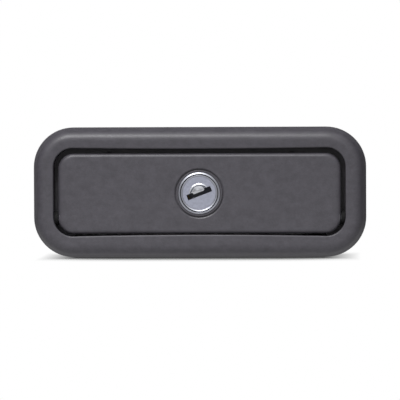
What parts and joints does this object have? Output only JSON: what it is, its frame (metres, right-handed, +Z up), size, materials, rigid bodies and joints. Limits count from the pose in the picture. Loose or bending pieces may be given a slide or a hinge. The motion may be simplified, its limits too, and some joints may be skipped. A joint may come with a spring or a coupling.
{
  "type": "compression lock",
  "caption": "Flush paddle compression lock for a hatch door: a swinging paddle in a rounded bezel, with a key barrel, lock cam and hooked pawl behind it.",
  "frame": {"origin": "centre of the four door screws, in the plane of the bezel's back face", "axes": "+X to the right along the bezel, +Y through the door to the inside, so the front looks along -Y, +Z up"},
  "size_m": [0.12, 0.0355, 0.047],
  "materials": {
    "shell": "fine-grained satin, dark grey",
    "cover": "matt, pale grey",
    "nylon": "matt, black",
    "rubber": "matt, black",
    "barrel": "die-cast, satin nickel",
    "plug": "satin nickel",
    "chrome": "polished",
    "plated": "zinc plated",
    "spring": "spring wire",
    "brass": "stamped"
  },
  "bodies": {
    "housing": {"bezel": "shell", "bezel_gasket": "rubber", "paddle_bumpers": "rubber", "hinge_pin_left": "plated", "hinge_pin_right": "plated", "hinge_washers": "nylon", "hinge_clips": "spring", "return_spring_left": "spring", "return_spring_right": "spring", "back_cover": "cover", "cover_screws": "plated"},
    "paddle": {"paddle": "shell", "lock_barrel": "barrel", "barrel_face_ring": "chrome", "barrel_nut": "plated", "pawl_arm": "plated", "pawl_arm_screws": "plated", "pawl_hook": "plated", "hook_screws": "plated", "hook_nuts": "plated", "pawl_pad": "rubber"},
    "plug": {"key_plug": "plug", "wafers": "brass", "wafer_springs": "spring", "lock_cam": "plated", "cam_washer": "plated", "cam_screw": "plated", "shutter_pin": "plated", "shutter_spring": "spring"},
    "shutter": {"dust_shutter": "chrome"}
  },
  "joints": [
    {"name": "paddle_swing", "type": "hinge", "parent": "housing", "child": "paddle", "pos_m": [0, -0.0021, -0.00925], "axis": [1, 0, 0], "range_deg": [0, 45], "stiffness_Nm_per_rad": 0.095, "springref_deg": -34.38, "deforming": ["return_spring_left", "return_spring_right"]},
    {"name": "key_turn", "type": "hinge", "parent": "paddle", "child": "plug", "pos_m": [0, 0, -0.0003], "axis": [0, -1, 0], "range_deg": [0, 90]},
    {"name": "shutter_swing", "type": "hinge", "parent": "plug", "child": "shutter", "pos_m": [-0.00113, -0.0034, 0.00264], "axis": [0.9336, 0, 0.3584], "range_deg": [0, 70], "stiffness_Nm_per_rad": 0.0005, "springref_deg": -34.38, "deforming": ["shutter_spring"]}
  ]
}
